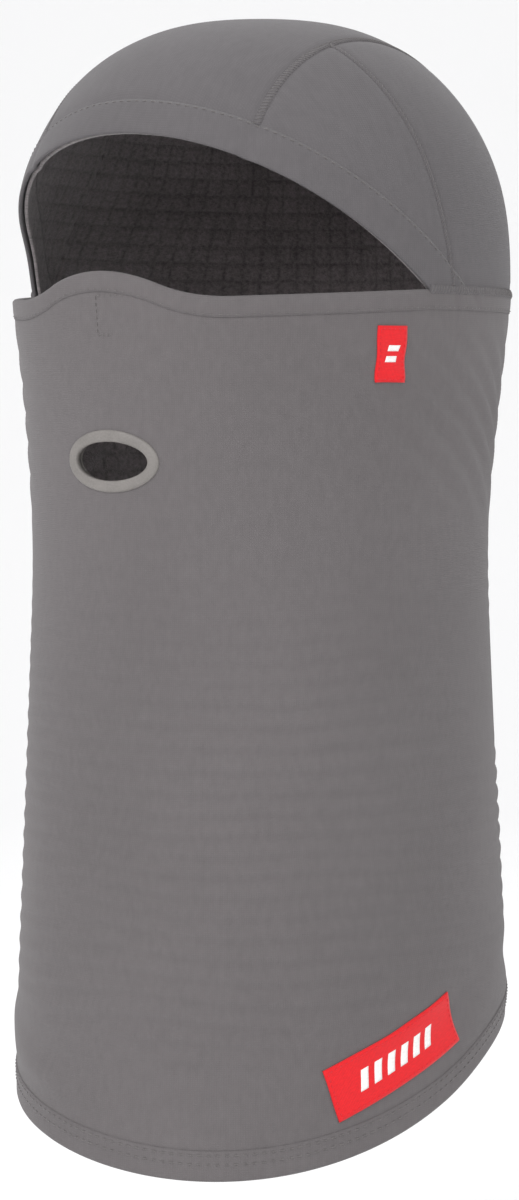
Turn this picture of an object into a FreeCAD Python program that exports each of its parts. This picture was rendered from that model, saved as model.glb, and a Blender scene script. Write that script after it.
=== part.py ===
import FreeCAD, Part
import math
import os

from FreeCAD import Matrix, Vector

# A winter balaclava on the head of its wearer, in millimetres.
# +Z is up, the face looks towards -Y and +X is the wearer's left.
# The origin is at the middle of the head, level with its widest place, just above the corners of
# the eye opening.

# Outside shape: level sections are ellipses, wider from front to back than from side to side
HEAD_HALF_WIDTH = 83.0
DEPTH_PER_WIDTH = 1.2
CROWN_HEIGHT = 93.5
CROWN_FULLNESS = 2.4
CROWN_STEPS = 9
NECK_OUTLINE = ((-30, 80.4), (-60, 77.3), (-92, 76.0), (-130, 77.2), (-180, 79.4), (-230, 81.4), (-280, 82.9),
                (-330, 84.0))

# Cloth layers, outside to inside. Layers that lie on each other are sewn only at their seams.
OUTER_THICK = 1.2
PLY_GAP = 0.2
LINING_THICK = 1.2
BAND_THICK = 0.8
ELASTIC_THICK = 0.6
SEAM_PROUD = 0.5
STITCH_PROUD = 0.3

# The hood is sewn to the neck tube at this height, from one corner of the eye opening round the back
# to the other
JOIN_Z = -3.0

# Eye opening: the brow edge rises from its corners towards the face, and the mask's edge falls
CORNER_Y = -20.0
BROW_SLOPE = 0.74
MASK_DROOP_SLOPE = 0.05
BROW_BAND_WIDTH = 13.5
ELASTIC_INSET = 2.0
NOSE_RISE = 9.4
NOSE_HALF_WIDTH = 44.0
MASK_TOP_HEM_WIDTH = 6.0
BODY_GAP = 0.3

# Hood seams
CENTER_PANEL_HALF = 44.7
SEAM_WIDTH = 2.4
SEAM_CLEARANCE = 0.1
TEMPLE_SEAM_Y = -8.0
TEMPLE_SEAM_LEAN = 13.0
STITCH_WIDTH = 0.8

# Breathing hole and its rim
HOLE_Z = -60.0
HOLE_WIDTH = 29.0
HOLE_HEIGHT = 13.0
RIM_BORDER = 4.0
RIM_THICK = 0.9

# Stitched bracket at the nose
NOSE_DART_WIDTH = 11.0
NOSE_DART_HEIGHT = 13.0

# Labels: turn about +Z from the front, height, tilt on the cloth, width and height
LABEL_THICK = 0.7
CHEEK_LABEL = {"turn": 64.2, "z": -24.3, "tilt": 0.0, "width": 12.4, "height": 19.0}
HEM_LABEL = {"turn": 66.5, "z": -260.2, "tilt": 18.0, "width": 59.0, "height": 19.5}
LABEL_STITCH_INSET = 1.2

# Hem: its edge lies in a plane that dips towards the chest
HEM_Z = -276.0
HEM_SLOPE = 0.225
HEM_WIDTH = 10.0
HEM_STITCH_ROWS = (5.5, 8.5)

LINING_FACE = OUTER_THICK + PLY_GAP
INNER_FACE = LINING_FACE + LINING_THICK
SIDES = ((1, "left"), (-1, "right"))
BIG = 600.0


def crown_points():
    """Outside profile over the crown, as distance from the axis and height."""
    points = []
    for step in range(CROWN_STEPS + 1):
        angle = math.radians(90 * step / CROWN_STEPS)
        radius = HEAD_HALF_WIDTH * math.sin(angle) ** (2 / CROWN_FULLNESS)
        height = CROWN_HEIGHT * math.cos(angle) ** (2 / CROWN_FULLNESS)
        points.append(Vector(radius, 0, height))
    points[-1].z = 0.0
    return points


def profile_curve(points):
    """A smooth curve through the points, level where it leaves the axis at the crown."""
    curve = Part.BSplineCurve()
    level = [Vector(1, 0, 0)] * len(points)
    only_first = [True] + [False] * (len(points) - 1)
    curve.interpolate(Points=points, Tangents=level, TangentFlags=only_first)
    return curve


def inset_points(inset):
    """The outside profile moved inwards by the inset, square to itself."""
    outside = crown_points() + [Vector(radius, 0, height) for height, radius in NECK_OUTLINE]
    curve = profile_curve(outside)
    moved = []
    for point in outside:
        tangent = curve.tangent(curve.parameter(point))[0]
        inwards = Vector(tangent.z, 0, -tangent.x)
        moved.append(point + inwards * inset)
    moved[0] = Vector(0, 0, CROWN_HEIGHT - inset)
    return moved


SHELLS = {}


def layer(outer, inner, region):
    """The cloth of a region between two depths under the outside surface. Negative depths stand proud."""
    if (outer, inner) not in SHELLS:
        outside = inset_points(outer)
        inside = inset_points(inner)
        edges = [profile_curve(outside).toShape(), profile_curve(inside).toShape()]
        edges.append(Part.LineSegment(outside[-1], inside[-1]).toShape())
        edges.append(Part.LineSegment(outside[0], inside[0]).toShape())
        face = Part.Face(Part.Wire(Part.__sortEdges__(edges)))
        SHELLS[(outer, inner)] = face.revolve(Vector(0, 0, 0), Vector(0, 0, 1), 360)
    return SHELLS[(outer, inner)].common(region)


def on_cloth(thickness, region):
    """Something of that thickness lying on the outer fabric."""
    return layer(-PLY_GAP - thickness, -PLY_GAP, region)


def save(shape, name):
    """Stretch a finished piece from round to oval sections and write it."""
    stretch = Matrix()
    stretch.scale(1, DEPTH_PER_WIDTH, 1)
    piece = shape.transformGeometry(stretch)
    piece.exportStep("parts/" + name + ".step")
    print(name, "solids", len(piece.Solids), "volume", round(piece.Volume, 1), "valid", piece.isValid())


# Cutting shapes. They take real positions and are squeezed to suit the round sections.

def squeezed(point):
    return Vector(point.x, point.y / DEPTH_PER_WIDTH, point.z)


def block(x0, x1, y0, y1, z0, z1):
    corner = squeezed(Vector(x0, y0, z0))
    return Part.makeBox(x1 - x0, (y1 - y0) / DEPTH_PER_WIDTH, z1 - z0, corner)


def slab(point, normal, start, stop):
    """The space between two parallel planes, at two distances along the normal from a point."""
    low = squeezed(point + normal * start)
    high = squeezed(point + normal * stop)
    square = Vector(normal.x, normal.y * DEPTH_PER_WIDTH, normal.z).normalize()
    thickness = (high - low).dot(square)
    space = Part.makeBox(2 * BIG, 2 * BIG, thickness, Vector(-BIG, -BIG, 0))
    space.Placement = FreeCAD.Placement(low, FreeCAD.Rotation(Vector(0, 0, 1), square))
    return space


def above_brow(start, stop=BIG):
    """The space above the brow edge's plane, between two distances from it, over the neck seam."""
    normal = Vector(0, BROW_SLOPE, 1).normalize()
    return slab(Vector(0, CORNER_Y, JOIN_Z), normal, start, stop).common(ABOVE_NECK)


def above_hem(start, stop=BIG):
    normal = Vector(0, -HEM_SLOPE, 1).normalize()
    return slab(Vector(0, 0, HEM_Z), normal, start, stop)


def nose_bump(flat):
    """The upright face that rises over the nose from a level edge, as three tangent arcs."""
    half = NOSE_HALF_WIDTH
    radius = (half ** 2 + NOSE_RISE ** 2) / (4 * NOSE_RISE)
    turn = math.asin(half / 2 / radius)
    sag_x = half - radius * math.sin(turn / 2)
    sag_z = flat + radius * (1 - math.cos(turn / 2))
    ends = [Vector(-half, 0, flat), Vector(half, 0, flat)]
    bends = [Vector(-half / 2, 0, flat + NOSE_RISE / 2), Vector(half / 2, 0, flat + NOSE_RISE / 2)]
    arcs = [Part.Arc(ends[0], Vector(-sag_x, 0, sag_z), bends[0])]
    arcs.append(Part.Arc(bends[0], Vector(0, 0, flat + NOSE_RISE), bends[1]))
    arcs.append(Part.Arc(bends[1], Vector(sag_x, 0, sag_z), ends[1]))
    base = Part.LineSegment(ends[1], ends[0])
    return Part.Face(Part.Wire([edge.toShape() for edge in arcs + [base]]))


def below_mask_edge(offset):
    """Everything below the neck tube's top edge, moved down by the offset. At the face the edge falls away
    from the corners and rises over the nose."""
    level = JOIN_Z - BODY_GAP - offset
    above_face = slab(Vector(0, CORNER_Y, level), Vector(0, -MASK_DROOP_SLOPE, 1).normalize(), 0, BIG)
    below = block(-BIG, BIG, -BIG, BIG, -BIG, level).cut(above_face.common(FRONT))
    forward = Vector(0, -BIG, -BIG * MASK_DROOP_SLOPE * DEPTH_PER_WIDTH)
    start = level - MASK_DROOP_SLOPE * CORNER_Y
    return below.fuse(nose_bump(start).extrude(forward))


def strip(x_middle, width):
    return block(x_middle - width / 2, x_middle + width / 2, -BIG, BIG, -BIG, BIG)


def side_block(side):
    """Everything outside the long hood seam on one side."""
    x0, x1 = sorted((side * CENTER_PANEL_HALF, side * BIG))
    return block(x0, x1, -BIG, BIG, -BIG, BIG)


def behind_temple_seam(side, start, stop=BIG):
    """The space behind the seam between the temple and rear panels on one side."""
    lean = math.radians(TEMPLE_SEAM_LEAN)
    normal = Vector(0, math.cos(lean), math.sin(lean))
    return slab(Vector(0, TEMPLE_SEAM_Y, 0), normal, start, stop).common(side_block(side))


def ellipse_prism(width, height):
    """An elliptical prism through the front of the mask, about the breathing hole's middle."""
    ellipse = Part.Ellipse(Vector(0, 0, 0), width / 2, height / 2).toShape()
    prism = Part.Face(Part.Wire(ellipse)).extrude(Vector(0, 0, BIG))
    prism.Placement = FreeCAD.Placement(Vector(0, 0, HOLE_Z), FreeCAD.Rotation(Vector(1, 0, 0), 90))
    return prism


def label_prism(label, inset):
    """The outline of a label, carried outwards through the cloth where it is sewn on."""
    wide = label["width"] / 2 - inset
    high = label["height"] / 2 - inset
    turn = FreeCAD.Rotation(Vector(0, 0, 1), label["turn"])
    tilt = FreeCAD.Rotation(Vector(0, -1, 0), label["tilt"])
    middle = Vector(0, 0, label["z"])
    corners = []
    for x, z in ((-wide, -high), (wide, -high), (wide, high), (-wide, high), (-wide, -high)):
        across = tilt.multVec(Vector(x, 0, z))
        corners.append(squeezed(turn.multVec(across) + middle))
    outwards = squeezed(turn.multVec(Vector(0, -BIG, 0)))
    return Part.Face(Part.makePolygon(corners)).extrude(outwards)


ABOVE_NECK = block(-BIG, BIG, -BIG, BIG, JOIN_Z, BIG)
FRONT = block(-BIG, BIG, -BIG, CORNER_Y, -BIG, BIG)


def hood_panels():
    region = above_brow(BROW_BAND_WIDTH)
    save(layer(0, OUTER_THICK, region.common(strip(0, 2 * CENTER_PANEL_HALF))), "crown_center_panel")
    for side, word in SIDES:
        half = region.common(side_block(side))
        save(layer(0, OUTER_THICK, half.common(behind_temple_seam(side, 0))), "rear_panel_" + word)
        save(layer(0, OUTER_THICK, half.cut(behind_temple_seam(side, 0))), "temple_panel_" + word)
    save(layer(LINING_FACE, INNER_FACE, region), "crown_lining")


def brow_hem():
    region = above_brow(0, BROW_BAND_WIDTH)
    elastic_outside = BAND_THICK + PLY_GAP
    elastic_inside = elastic_outside + ELASTIC_THICK
    save(layer(0, BAND_THICK, region), "brow_band")
    save(layer(elastic_inside + PLY_GAP, INNER_FACE, region), "brow_facing")
    tunnel = above_brow(ELASTIC_INSET, BROW_BAND_WIDTH - ELASTIC_INSET)
    save(layer(elastic_outside, elastic_inside, tunnel), "brow_elastic")


def hood_seams():
    over_neck_seam = block(-BIG, BIG, -BIG, BIG, JOIN_Z + SEAM_WIDTH + SEAM_CLEARANCE, BIG)
    room = above_brow(BROW_BAND_WIDTH + STITCH_WIDTH).common(over_neck_seam)
    for side, word in SIDES:
        long_seam = strip(side * CENTER_PANEL_HALF, SEAM_WIDTH).common(room)
        save(on_cloth(SEAM_PROUD, long_seam), "crown_seam_" + word)
        cross = behind_temple_seam(side, -SEAM_WIDTH / 2, SEAM_WIDTH / 2).common(room)
        cross = cross.cut(strip(side * CENTER_PANEL_HALF, SEAM_WIDTH + SEAM_CLEARANCE))
        save(on_cloth(SEAM_PROUD, cross), "temple_seam_" + word)
    stitch_line = above_brow(BROW_BAND_WIDTH - STITCH_WIDTH, BROW_BAND_WIDTH)
    save(on_cloth(STITCH_PROUD, stitch_line.common(over_neck_seam)), "brow_stitching")
    save(on_cloth(SEAM_PROUD, above_brow(0).cut(over_neck_seam).cut(FRONT)), "neck_seam")


def mask_shell():
    """The neck tube. Its top hem finishes the mask's edge and carries on round the back under the hood."""
    hole = ellipse_prism(HOLE_WIDTH, HOLE_HEIGHT)
    edge = below_mask_edge(0)
    lower_edge = below_mask_edge(MASK_TOP_HEM_WIDTH)
    tube = edge.common(above_hem(0))
    panel = below_mask_edge(MASK_TOP_HEM_WIDTH + PLY_GAP).common(above_hem(HEM_WIDTH)).cut(hole)
    save(layer(0, OUTER_THICK, panel), "mask_neck_panel")
    save(layer(LINING_FACE, INNER_FACE, tube.cut(hole)), "mask_neck_lining")
    save(layer(0, OUTER_THICK, edge.cut(lower_edge)), "mask_top_hem")
    stitch_line = below_mask_edge(MASK_TOP_HEM_WIDTH - STITCH_WIDTH).cut(lower_edge)
    save(on_cloth(STITCH_PROUD, stitch_line), "mask_top_stitching")


def bottom_hem():
    save(layer(0, OUTER_THICK, above_hem(0, HEM_WIDTH)), "bottom_hem")
    rows = []
    for start in HEM_STITCH_ROWS:
        rows.append(on_cloth(STITCH_PROUD, above_hem(start, start + STITCH_WIDTH)))
    save(Part.makeCompound(rows), "bottom_hem_stitching")


def breathing_hole_rim():
    outside = ellipse_prism(HOLE_WIDTH + 2 * RIM_BORDER, HOLE_HEIGHT + 2 * RIM_BORDER)
    ring = outside.cut(ellipse_prism(HOLE_WIDTH, HOLE_HEIGHT))
    under_lining = INNER_FACE + PLY_GAP
    save(on_cloth(RIM_THICK, ring), "breathing_rim_outer")
    save(layer(under_lining, under_lining + RIM_THICK, ring), "breathing_rim_inner")


def nose_dart():
    """A three-sided bracket of stitches under the mask's top hem, on the wearer's left of the nose."""
    face_y = -DEPTH_PER_WIDTH * HEAD_HALF_WIDTH
    edge = JOIN_Z - BODY_GAP + MASK_DROOP_SLOPE * (face_y - CORNER_Y) + NOSE_RISE
    top = edge - MASK_TOP_HEM_WIDTH - 2 * STITCH_WIDTH
    low = top - NOSE_DART_HEIGHT
    whole = block(0, NOSE_DART_WIDTH, -BIG, CORNER_Y, low, top)
    hollow = block(STITCH_WIDTH, BIG, -BIG, CORNER_Y, low + STITCH_WIDTH, top - STITCH_WIDTH)
    save(on_cloth(STITCH_PROUD, whole.cut(hollow)), "nose_dart_stitching")


def labels():
    for label, name in ((CHEEK_LABEL, "cheek_label"), (HEM_LABEL, "hem_label")):
        save(on_cloth(LABEL_THICK, label_prism(label, 0)), name)
        outline = label_prism(label, LABEL_STITCH_INSET)
        outline = outline.cut(label_prism(label, LABEL_STITCH_INSET + STITCH_WIDTH))
        face = -PLY_GAP - LABEL_THICK - PLY_GAP
        save(layer(face - STITCH_PROUD, face, outline), name + "_stitching")


def back_seam():
    """The seam that closes the neck tube at the middle of the back."""
    under_top_hem = JOIN_Z - BODY_GAP - MASK_TOP_HEM_WIDTH
    behind = block(-SEAM_WIDTH / 2, SEAM_WIDTH / 2, 0, BIG, -BIG, under_top_hem)
    save(on_cloth(SEAM_PROUD, behind.common(above_hem(HEM_WIDTH))), "back_seam")


os.makedirs("parts", exist_ok=True)
hood_panels()
brow_hem()
hood_seams()
mask_shell()
bottom_hem()
breathing_hole_rim()
nose_dart()
labels()
back_seam()
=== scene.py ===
import math

import bmesh
import bpy
import numpy as np
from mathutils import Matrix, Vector


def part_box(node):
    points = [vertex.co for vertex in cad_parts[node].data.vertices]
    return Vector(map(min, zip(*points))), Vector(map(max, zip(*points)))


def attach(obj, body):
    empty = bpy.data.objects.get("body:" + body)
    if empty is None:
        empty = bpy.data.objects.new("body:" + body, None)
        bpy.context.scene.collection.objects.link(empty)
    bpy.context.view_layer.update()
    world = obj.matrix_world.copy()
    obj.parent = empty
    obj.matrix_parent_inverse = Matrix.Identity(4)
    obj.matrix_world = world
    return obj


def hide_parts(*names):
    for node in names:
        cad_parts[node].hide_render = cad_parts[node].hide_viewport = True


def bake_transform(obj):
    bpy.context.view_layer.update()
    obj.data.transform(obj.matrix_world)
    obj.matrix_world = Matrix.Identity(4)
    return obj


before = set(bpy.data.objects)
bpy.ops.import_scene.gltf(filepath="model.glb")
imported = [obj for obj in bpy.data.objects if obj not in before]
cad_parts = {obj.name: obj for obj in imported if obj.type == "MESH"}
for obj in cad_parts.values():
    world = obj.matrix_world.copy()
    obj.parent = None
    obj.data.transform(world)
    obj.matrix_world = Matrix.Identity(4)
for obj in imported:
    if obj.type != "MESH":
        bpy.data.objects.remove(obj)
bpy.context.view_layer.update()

# The CAD model's outside surface. Lengths are in millimetres until a mesh is made.
MM = 0.001
FULL_TURN = 2 * math.pi
HALF_WIDTH = 83.0
DEPTH_PER_WIDTH = 1.2
HALF_DEPTH = DEPTH_PER_WIDTH * HALF_WIDTH
MEAN_HALF = (HALF_WIDTH + HALF_DEPTH) / 2
CROWN_HEIGHT = 93.5
CROWN_FULLNESS = 2.4
NECK_OUTLINE = ((-30, 80.4), (-60, 77.3), (-92, 76.0), (-130, 77.2), (-180, 79.4), (-230, 81.4), (-280, 82.9),
                (-330, 84.0))

# Depths below the outer fabric's face
OUTER_BACK = 1.2
LINING_FRONT = 1.3
LINING_BACK = 2.1
HEM_BACK = 3.0

# Seams, edges and the breathing hole, as in the CAD
JOIN_Z = -3.0
CORNER_Y = -20.0
CORNER_PHI = math.asin(CORNER_Y / HALF_DEPTH)
BROW_SLOPE = 0.74
MASK_DROOP_SLOPE = 0.05
BROW_BAND = 13.5
NOSE_RISE = 9.4
NOSE_HALF_WIDTH = 44.0
MASK_HEM = 6.0
BODY_GAP = 0.3
CENTER_HALF = 44.7
TEMPLE_SEAM_Y = -8.0
TEMPLE_SEAM_LEAN = math.tan(math.radians(13.0))
SEAM_WIDTH = 2.4
HOLE_Z = -60.0
HOLE_HALF = (14.5, 6.5)
HOLE_MARGIN = 2.2
HEM_Z = -276.0
HEM_SLOPE = 0.225
HEM_WIDTH = 10.0
HEM_STITCH_ROWS = (5.5, 8.5)


# --- The surface ---

def smooth_spline(x, y, at):
    """A natural cubic spline through the points, read at the given places."""
    n = len(x)
    h = np.diff(x)
    m = np.zeros((n, n))
    rhs = np.zeros(n)
    m[0, 0] = m[-1, -1] = 1
    for i in range(1, n - 1):
        m[i, i - 1:i + 2] = (h[i - 1], 2 * (h[i - 1] + h[i]), h[i])
        rhs[i] = 6 * ((y[i + 1] - y[i]) / h[i] - (y[i] - y[i - 1]) / h[i - 1])
    bend = np.linalg.solve(m, rhs)
    k = np.clip(np.searchsorted(x, at) - 1, 0, n - 2)
    a = (x[k + 1] - at) / h[k]
    b = 1 - a
    cubic = ((a ** 3 - a) * bend[k] + (b ** 3 - b) * bend[k + 1]) * h[k] ** 2 / 6
    return a * y[k] + b * y[k + 1] + cubic


def build_profile():
    """Distance from the axis and height along the profile, at even steps from the crown down."""
    angle = np.radians(np.concatenate([[0], np.geomspace(0.01, 90, 900)]))
    r = HALF_WIDTH * np.sin(angle) ** (2 / CROWN_FULLNESS)
    z = CROWN_HEIGHT * np.cos(np.minimum(angle, math.pi / 2)) ** (2 / CROWN_FULLNESS)
    above = 20.0
    above_radius = HALF_WIDTH * (1 - (above / CROWN_HEIGHT) ** CROWN_FULLNESS) ** (1 / CROWN_FULLNESS)
    knots = np.array([(above, above_radius), (0, HALF_WIDTH)] + [list(p) for p in NECK_OUTLINE])
    down = np.linspace(0.5, 329, 700)
    neck = smooth_spline(-knots[:, 0], knots[:, 1], down)
    r = np.concatenate([r, neck])
    z = np.concatenate([z, -down])
    s = np.concatenate([[0], np.cumsum(np.hypot(np.diff(r), np.diff(z)))])
    even = np.linspace(0, s[-1], 4000)
    return even, np.interp(even, s, r), np.interp(even, s, z)


S_TABLE, R_TABLE, Z_TABLE = build_profile()
SMOOTHING = 15
ENDS = SMOOTHING // 2 + 1


def slope(values):
    """How fast values change along the profile, smoothed, and held where the smoothing runs off its ends."""
    along = np.convolve(np.gradient(values, S_TABLE), np.ones(SMOOTHING) / SMOOTHING, "same")
    along[:ENDS] = along[ENDS]
    along[-ENDS:] = along[-ENDS - 1]
    return along


SLOPE_R = slope(R_TABLE)
SLOPE_Z = slope(Z_TABLE)
S_JOIN = float(np.interp(-JOIN_Z, -Z_TABLE, S_TABLE))


def s_at_z(z):
    return np.interp(-np.asarray(z, float), -Z_TABLE, S_TABLE)


def s_at_r(r):
    """Place on the crown at a distance from the axis."""
    widest = int(np.argmax(R_TABLE))
    return np.interp(r, R_TABLE[:widest], S_TABLE[:widest])


def bare(phi, s):
    """The smooth surface and its outward direction, before any folds."""
    phi, s = np.broadcast_arrays(np.asarray(phi, float), np.asarray(s, float))
    r = np.interp(s, S_TABLE, R_TABLE)
    z = np.interp(s, S_TABLE, Z_TABLE)
    sr = np.interp(s, S_TABLE, SLOPE_R)
    sz = np.interp(s, S_TABLE, SLOPE_Z)
    c, d = np.cos(phi), np.sin(phi)
    point = np.stack([r * c, DEPTH_PER_WIDTH * r * d, z], -1)
    out = np.stack([-sz * c, -sz * d / DEPTH_PER_WIDTH, sr], -1)
    return point, out / np.linalg.norm(out, axis=-1, keepdims=True)


def bump(t):
    """A smooth hump, 1 at 0 and 0 past 1 either way."""
    t = np.clip(np.abs(t), 0, 1)
    return (1 - t * t) ** 2


def ramp(t):
    t = np.clip(t, 0, 1)
    return t * t * (3 - 2 * t)


WAVE_COUNT = 14
WAVES = np.random.default_rng(7).normal(size=(WAVE_COUNT, 3))
WAVE_PHASE = np.random.default_rng(11).uniform(0, FULL_TURN, WAVE_COUNT)
WAVE_RATE = 2.2
WAVE_RANGE = 3.2


def drift(point, length):
    """Smooth wandering values, about -1 to 1, over the given length in millimetres."""
    total = 0
    for wave, phase in zip(WAVES, WAVE_PHASE):
        total = total + np.sin(point @ wave * (WAVE_RATE / length) + phase)
    return total / WAVE_RANGE


def brow_distance(point):
    size = math.hypot(BROW_SLOPE, 1)
    return (BROW_SLOPE * (point[..., 1] - CORNER_Y) + point[..., 2] - JOIN_Z) / size


def hem_wave(point):
    """How far the hanging hem lies above or below its plane: a shallow wave, as cloth hangs off a head."""
    phi = np.arctan2(point[..., 1] / DEPTH_PER_WIDTH, point[..., 0])
    front = ramp((60 - point[..., 1]) / 70)
    wave = 2.6 + 3.0 * np.sin(phi) - 2.0 * np.cos(phi)
    wave = wave - 2.8 * np.cos(2 * phi) + 4.8 * np.sin(2 * phi)
    return front * wave


def hem_distance(point):
    plane = HEM_Z + HEM_SLOPE * point[..., 1]
    return (point[..., 2] - plane - hem_wave(point)) / math.hypot(HEM_SLOPE, 1)


def temple_distance(point):
    size = math.hypot(TEMPLE_SEAM_LEAN, 1)
    return (point[..., 1] - TEMPLE_SEAM_Y + TEMPLE_SEAM_LEAN * point[..., 2]) / size


def mask_edge(x, y):
    """Height of the neck tube's top edge. At the face it falls away from the corners of the eye opening and
    rises over the nose in three tangent arcs."""
    half = NOSE_HALF_WIDTH
    radius = (half ** 2 + NOSE_RISE ** 2) / (4 * NOSE_RISE)
    x = np.abs(x)
    near = NOSE_RISE - radius + np.sqrt(radius ** 2 - np.minimum(x, half / 2) ** 2)
    far = radius - np.sqrt(radius ** 2 - (half - np.clip(x, half / 2, half)) ** 2)
    nose = np.where(x < half / 2, near, far) * (y < CORNER_Y)
    return JOIN_Z - BODY_GAP + MASK_DROOP_SLOPE * np.minimum(y - CORNER_Y, 0) + nose


def valley(distance, depth, half):
    """A groove of that depth and half width along a line."""
    return -depth * bump(distance / half)


def hood_relief(point):
    """How the sewn seams pull the hood's cloth in, and its slight unevenness."""
    x, y, z = point[..., 0], point[..., 1], point[..., 2]
    above = brow_distance(point)
    depth = valley(np.abs(x) - CENTER_HALF, depth=0.5, half=3.2)
    depth = depth + valley(temple_distance(point), depth=0.4, half=3.0) * (np.abs(x) > CENTER_HALF)
    depth = depth + valley(above - BROW_BAND, depth=0.35, half=2.4)
    depth = depth + valley(z - JOIN_Z - SEAM_WIDTH, depth=0.3, half=2.5) * (y > CORNER_Y)
    return depth * ramp((above + 5) / 5) + 0.35 * drift(point, 46) * ramp(above / 14)


RIPPLE_DEPTH = 0.5
RIPPLE_PITCH = 7.0
RIPPLE_SIDE = math.radians(-25)
CREASE_DEPTH = 0.7
CREASE_PITCH = 13
CREASE_Z = -48
FOLD_DEPTH = 1.0
FOLD_ABOVE_HEM = 22
SWAY_DEPTH = 0.8


def neck_relief(point, phi):
    """Level ripples low on the wearer's left, slanting creases beside the neck, soft folds above the hem and
    a broad sway."""
    z = point[..., 2]
    above_hem = hem_distance(point)
    low = ramp((-z - 80) / 70) * ramp((above_hem - 26) / 24)
    side = ramp(0.75 + 0.75 * np.cos(phi - RIPPLE_SIDE))
    patches = ramp(0.75 + 0.7 * drift(point + 90, 60))
    ripple = np.sin(FULL_TURN * (z + 2.5 * drift(point, 70)) / RIPPLE_PITCH)
    depth = RIPPLE_DEPTH * ripple * low * side * patches
    lean = z + 0.75 * point[..., 1] * np.sign(np.cos(phi))
    beside = bump((z - CREASE_Z) / 44) * ramp((np.abs(np.cos(phi)) - 0.45) / 0.5)
    crease = np.sin(FULL_TURN * (lean + 5 * drift(point, 70)) / CREASE_PITCH)
    depth = depth + CREASE_DEPTH * beside * crease
    fold = bump((above_hem - FOLD_ABOVE_HEM - 4 * drift(point, 80)) / 15)
    depth = depth + FOLD_DEPTH * fold * drift(point * np.array([1, 1, 2.2]), 40)
    sway = drift(point * np.array([1, 1, 0.45]), 80)
    return depth + SWAY_DEPTH * sway * ramp((-z - 20) / 60) * ramp(above_hem / 12)


def relief(phi, point):
    """Height of the cloth's folds. The hood's die out just below the edge of the mask."""
    above_edge = point[..., 2] - mask_edge(point[..., 0], point[..., 1])
    stitched = valley(above_edge + MASK_HEM, depth=0.12, half=2.2)
    return hood_relief(point) * ramp((above_edge + 14) / 14) + neck_relief(point, phi) + stitched


# True while the hood's pieces are made: they are pulled forward on the wearer's right, and the mask isn't
FIT = {"hood": True}
PULL_TURN = math.radians(9.5)
PULL_OUT = 2.6
PULL_TOP = 48.0
PULL_BACK = math.radians(190)
PULL_FRONT = math.radians(300)
PULL_FADE = math.radians(30)


def pull(phi, s):
    """How much the hood's cloth is drawn forward, 0 to 1. It is worn slightly skewed: low at the wearer's
    right temple the cloth comes forward, most at the eye opening's edge and not at all at the back."""
    point, _ = bare(phi, s)
    around = np.mod(phi + 0.5 * math.pi, FULL_TURN)
    corner = 1.5 * math.pi - CORNER_PHI
    behind = ramp((around - PULL_BACK) / (corner - PULL_BACK))
    ahead = ramp((PULL_FRONT - around) / PULL_FADE)
    height = ramp((PULL_TOP - point[..., 2]) / (PULL_TOP - JOIN_Z))
    return behind * ahead * height


def skin(phi, s, out=0.0):
    """A point on the cloth, that far outside the outer fabric's face."""
    phi, s = np.broadcast_arrays(np.asarray(phi, float), np.asarray(s, float))
    amount = pull(phi, s) if FIT["hood"] else 0.0
    phi = phi + PULL_TURN * amount
    point, normal = bare(phi, s)
    lift = relief(phi, point) + PULL_OUT * amount + out
    return point + normal * lift[..., None]


def s_where(distance, phi):
    """For each direction, the place on the profile where a distance to a plane first falls below zero."""
    phi = np.atleast_1d(phi)
    steps = np.linspace(2, S_TABLE[-1] - 1, 1600)
    point, _ = bare(phi[:, None], steps[None, :])
    value = distance(point)
    first = np.clip(np.argmax(value < 0, axis=1), 1, len(steps) - 1)
    rows = np.arange(len(phi))
    before, after = value[rows, first - 1], value[rows, first]
    share = np.clip(before / (before - after + 1e-12), 0, 1)
    return steps[first - 1] + share * (steps[first] - steps[first - 1])


def phi_of(x, y):
    return np.arctan2(y / DEPTH_PER_WIDTH, x)


# --- Meshes ---

def new_piece(name, vertices, faces, material, cloth):
    """A smooth-shaded mesh from millimetre points. cloth is each point's place on the flat cloth."""
    mesh = bpy.data.meshes.new(name)
    mesh.from_pydata((np.asarray(vertices) * MM).tolist(), [], [list(map(int, f)) for f in faces])
    mesh.validate()
    mesh.update()
    mesh.polygons.foreach_set("use_smooth", [True] * len(mesh.polygons))
    mesh.attributes.new("cloth", "FLOAT_VECTOR", "POINT")
    obj = bpy.data.objects.new(name, mesh)
    bpy.context.collection.objects.link(obj)
    obj.data.materials.append(material)
    set_cloth(obj, cloth)
    return obj


def set_cloth(obj, cloth):
    """The points' places on the flat cloth, for the materials."""
    flat = np.zeros((len(obj.data.vertices), 3), np.float32)
    flat[:, :2] = cloth
    obj.data.attributes["cloth"].data.foreach_set("vector", flat.ravel())


def face_outwards(obj):
    mesh = bmesh.new()
    mesh.from_mesh(obj.data)
    bmesh.ops.recalc_face_normals(mesh, faces=mesh.faces)
    mesh.to_mesh(obj.data)
    mesh.free()


def cloth_place(phi, s):
    """Where directions and profile places lie on the flat cloth, in metres."""
    return np.stack([phi * MEAN_HALF, s], -1) * MM


def open_edges(faces):
    """Edges with a face on one side only, in the direction of their face."""
    edges = {(a, b): True for f in faces for a, b in zip(f, f[1:] + f[:1])}
    return [(a, b) for a, b in edges if (b, a) not in edges]


def closed_shell(name, front, back, faces, material, cloth):
    """A sheet with thickness: front points, matching back points, and walls along its open edges."""
    n = len(front)
    walls = [(b, a, a + n, b + n) for a, b in open_edges(faces)]
    turned = [tuple(i + n for i in reversed(f)) for f in faces]
    vertices = np.concatenate([front, back])
    return new_piece(name, vertices, faces + turned + walls, material, np.concatenate([cloth, cloth]))


def grid_faces(rows, columns, wrap=False):
    faces = []
    last = columns if wrap else columns - 1
    for i in range(rows - 1):
        for j in range(last):
            k = (j + 1) % columns
            faces.append((i * columns + j, i * columns + k, (i + 1) * columns + k, (i + 1) * columns + j))
    return faces


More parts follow.
